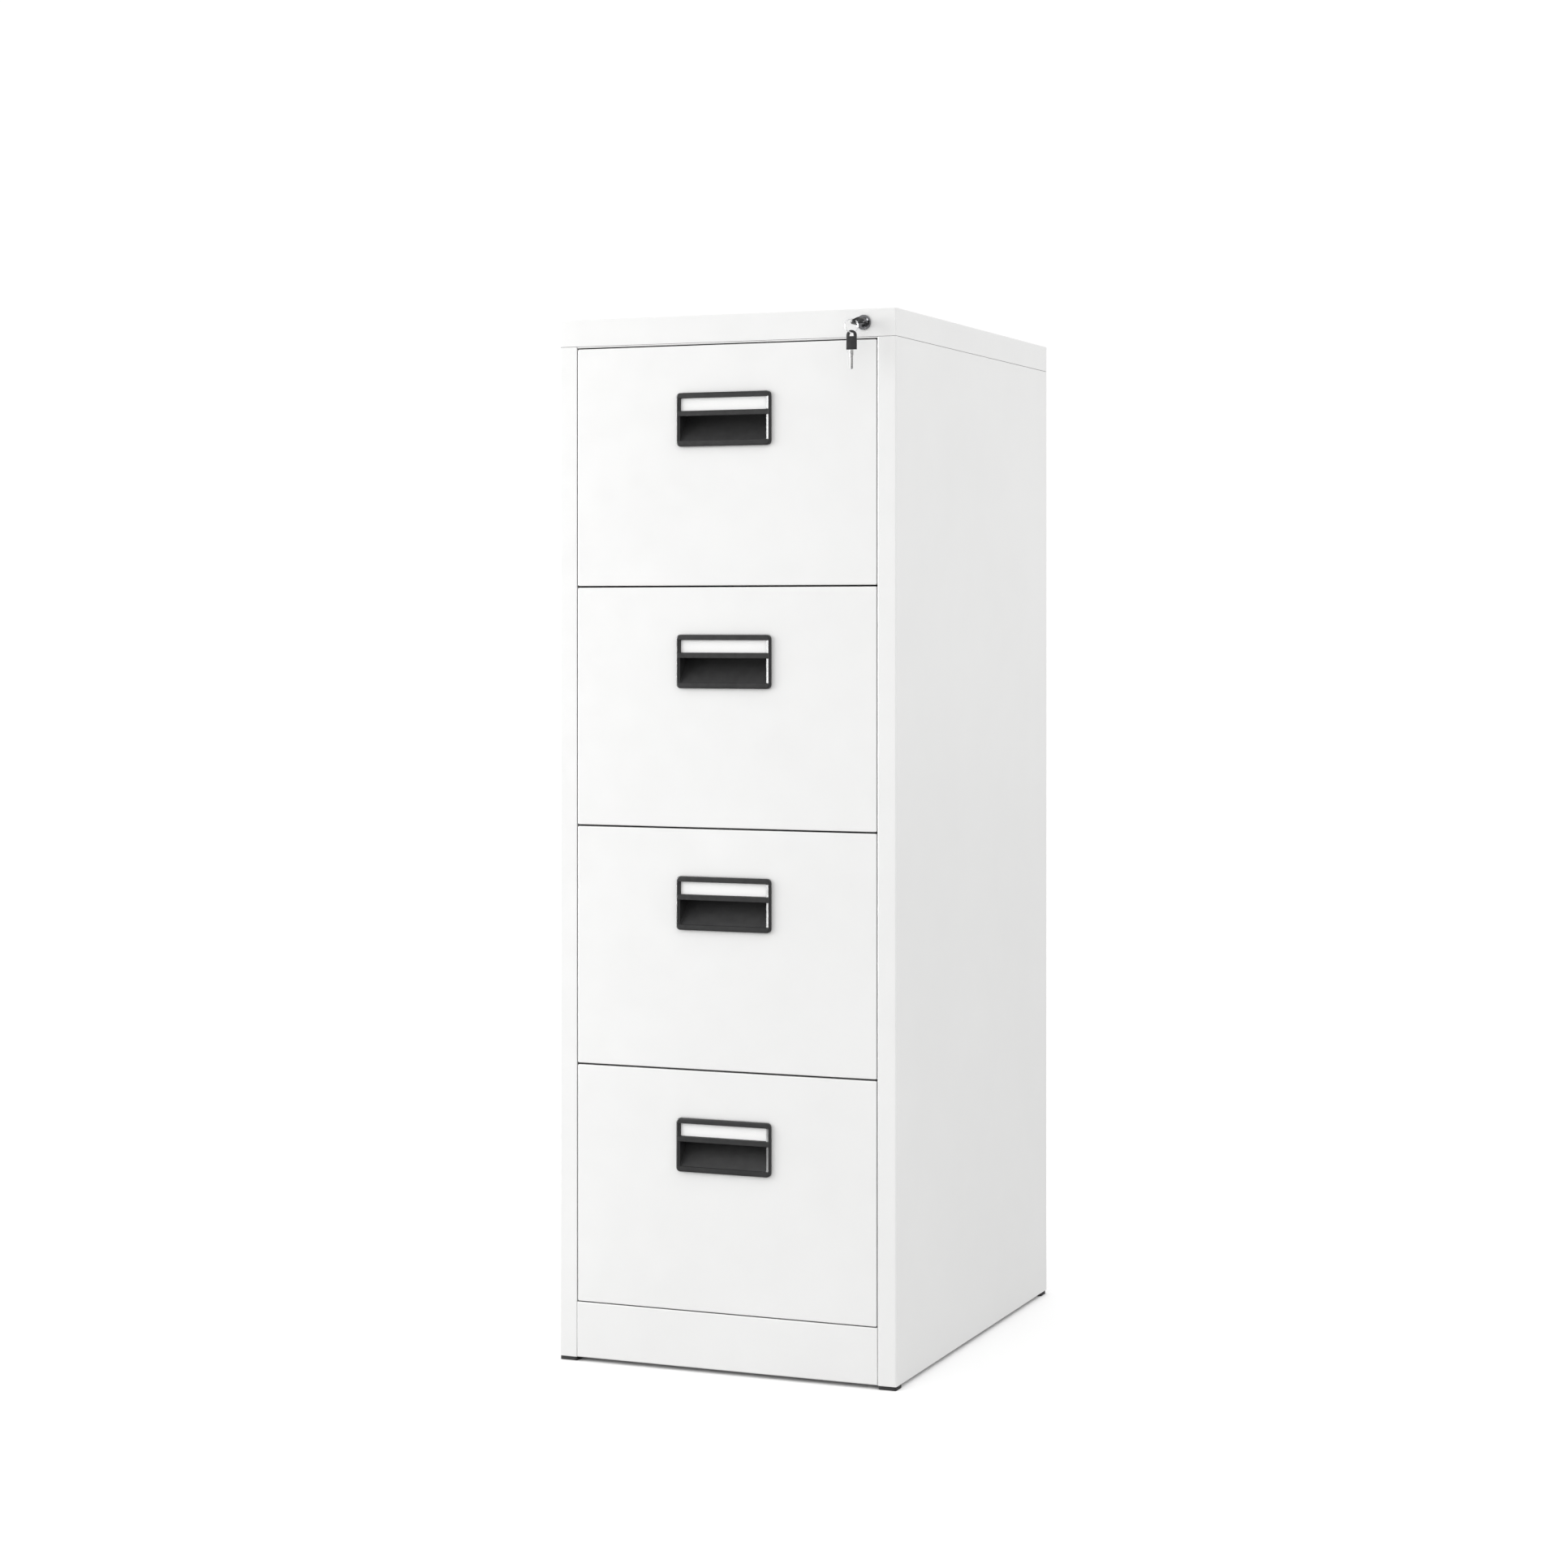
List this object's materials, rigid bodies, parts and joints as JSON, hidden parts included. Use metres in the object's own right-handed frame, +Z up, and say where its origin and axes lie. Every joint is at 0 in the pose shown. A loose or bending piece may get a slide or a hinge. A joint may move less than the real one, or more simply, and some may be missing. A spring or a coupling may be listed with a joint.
{
  "type": "metal filing cabinet",
  "caption": "Tall white sheet-metal filing cabinet with full-extension drawers on ball slides, black recessed pulls with label windows, and a key lock that lifts a locking bar.",
  "frame": {"origin": "on the floor, under the middle of the part's box, the key that stands out at the front included", "axes": "+Z up; -Y towards the drawer fronts; +X to the right as seen from the front"},
  "size_m": [0.46, 0.6558, 1.335],
  "materials": {
    "white_paint": "satin powder coat",
    "zinc_steel": "bright zinc plate",
    "black_plastic": "satin moulded",
    "dark_chrome": "polished",
    "bar_steel": "plain rolled",
    "foot_plastic": "matt"
  },
  "bodies": {
    "cabinet": {"left_side_panel": "white_paint", "right_side_panel": "white_paint", "top_cover": "white_paint", "header_rail": "white_paint", "kick_plate": "white_paint", "back_panel": "white_paint", "base_panel": "white_paint", "front_left_foot": "foot_plastic", "rear_left_foot": "foot_plastic", "front_right_foot": "foot_plastic", "rear_right_foot": "foot_plastic", "left_slide_frame": "zinc_steel", "right_slide_frame": "zinc_steel", "drawer_1_left_outer_slide": "zinc_steel", "drawer_1_right_outer_slide": "zinc_steel", "drawer_2_left_outer_slide": "zinc_steel", "drawer_2_right_outer_slide": "zinc_steel", "drawer_3_left_outer_slide": "zinc_steel", "drawer_3_right_outer_slide": "zinc_steel", "drawer_4_left_outer_slide": "zinc_steel", "drawer_4_right_outer_slide": "zinc_steel", "lock_barrel": "dark_chrome", "lock_nut": "zinc_steel", "lock_bar_guide": "zinc_steel"},
    "lock_core": {"lock_plug": "dark_chrome", "lock_cam": "zinc_steel", "key": "black_plastic"},
    "lock_bar": {"lock_bar": "bar_steel"},
    "middle_slides_1": {"drawer_1_left_middle_slide": "zinc_steel", "drawer_1_right_middle_slide": "zinc_steel"},
    "drawer_1": {"drawer_1_front": "white_paint", "drawer_1_tray": "white_paint", "drawer_1_handle": "black_plastic", "drawer_1_catch": "zinc_steel", "drawer_1_left_inner_slide": "zinc_steel", "drawer_1_right_inner_slide": "zinc_steel"},
    "middle_slides_2": {"drawer_2_left_middle_slide": "zinc_steel", "drawer_2_right_middle_slide": "zinc_steel"},
    "drawer_2": {"drawer_2_front": "white_paint", "drawer_2_tray": "white_paint", "drawer_2_handle": "black_plastic", "drawer_2_catch": "zinc_steel", "drawer_2_left_inner_slide": "zinc_steel", "drawer_2_right_inner_slide": "zinc_steel"},
    "middle_slides_3": {"drawer_3_left_middle_slide": "zinc_steel", "drawer_3_right_middle_slide": "zinc_steel"},
    "drawer_3": {"drawer_3_front": "white_paint", "drawer_3_tray": "white_paint", "drawer_3_handle": "black_plastic", "drawer_3_catch": "zinc_steel", "drawer_3_left_inner_slide": "zinc_steel", "drawer_3_right_inner_slide": "zinc_steel"},
    "middle_slides_4": {"drawer_4_left_middle_slide": "zinc_steel", "drawer_4_right_middle_slide": "zinc_steel"},
    "drawer_4": {"drawer_4_front": "white_paint", "drawer_4_tray": "white_paint", "drawer_4_handle": "black_plastic", "drawer_4_catch": "zinc_steel", "drawer_4_left_inner_slide": "zinc_steel", "drawer_4_right_inner_slide": "zinc_steel"}
  },
  "joints": [
    {"name": "drawer_1_slide", "type": "slide", "parent": "cabinet", "child": "drawer_1", "axis": [0, -1, 0], "range_m": [0, 0.48]},
    {"name": "drawer_2_slide", "type": "slide", "parent": "cabinet", "child": "drawer_2", "axis": [0, -1, 0], "range_m": [0, 0.48]},
    {"name": "drawer_3_slide", "type": "slide", "parent": "cabinet", "child": "drawer_3", "axis": [0, -1, 0], "range_m": [0, 0.48]},
    {"name": "drawer_4_slide", "type": "slide", "parent": "cabinet", "child": "drawer_4", "axis": [0, -1, 0], "range_m": [0, 0.48]},
    {"name": "middle_slides_1_slide", "type": "slide", "parent": "cabinet", "child": "middle_slides_1", "axis": [0, -1, 0], "range_m": [0, 0.24]},
    {"name": "middle_slides_2_slide", "type": "slide", "parent": "cabinet", "child": "middle_slides_2", "axis": [0, -1, 0], "range_m": [0, 0.24]},
    {"name": "middle_slides_3_slide", "type": "slide", "parent": "cabinet", "child": "middle_slides_3", "axis": [0, -1, 0], "range_m": [0, 0.24]},
    {"name": "middle_slides_4_slide", "type": "slide", "parent": "cabinet", "child": "middle_slides_4", "axis": [0, -1, 0], "range_m": [0, 0.24]},
    {"name": "lock_turn", "type": "hinge", "parent": "cabinet", "child": "lock_core", "pos_m": [0.1875, -0.29215, 1.3173], "axis": [0, -1, 0], "range_deg": [0, 90]},
    {"name": "lock_bar_lift", "type": "slide", "parent": "cabinet", "child": "lock_bar", "axis": [0, 0, 1], "range_m": [0, 0.01131]}
  ],
  "couplings": [
    {"joint": "middle_slides_1_slide", "follows": "drawer_1_slide", "ratio": 0.5},
    {"joint": "middle_slides_2_slide", "follows": "drawer_2_slide", "ratio": 0.5},
    {"joint": "middle_slides_3_slide", "follows": "drawer_3_slide", "ratio": 0.5},
    {"joint": "middle_slides_4_slide", "follows": "drawer_4_slide", "ratio": 0.5},
    {"joint": "lock_turn", "follows": "lock_bar_lift", "rad_per_m": 138.88}
  ]
}
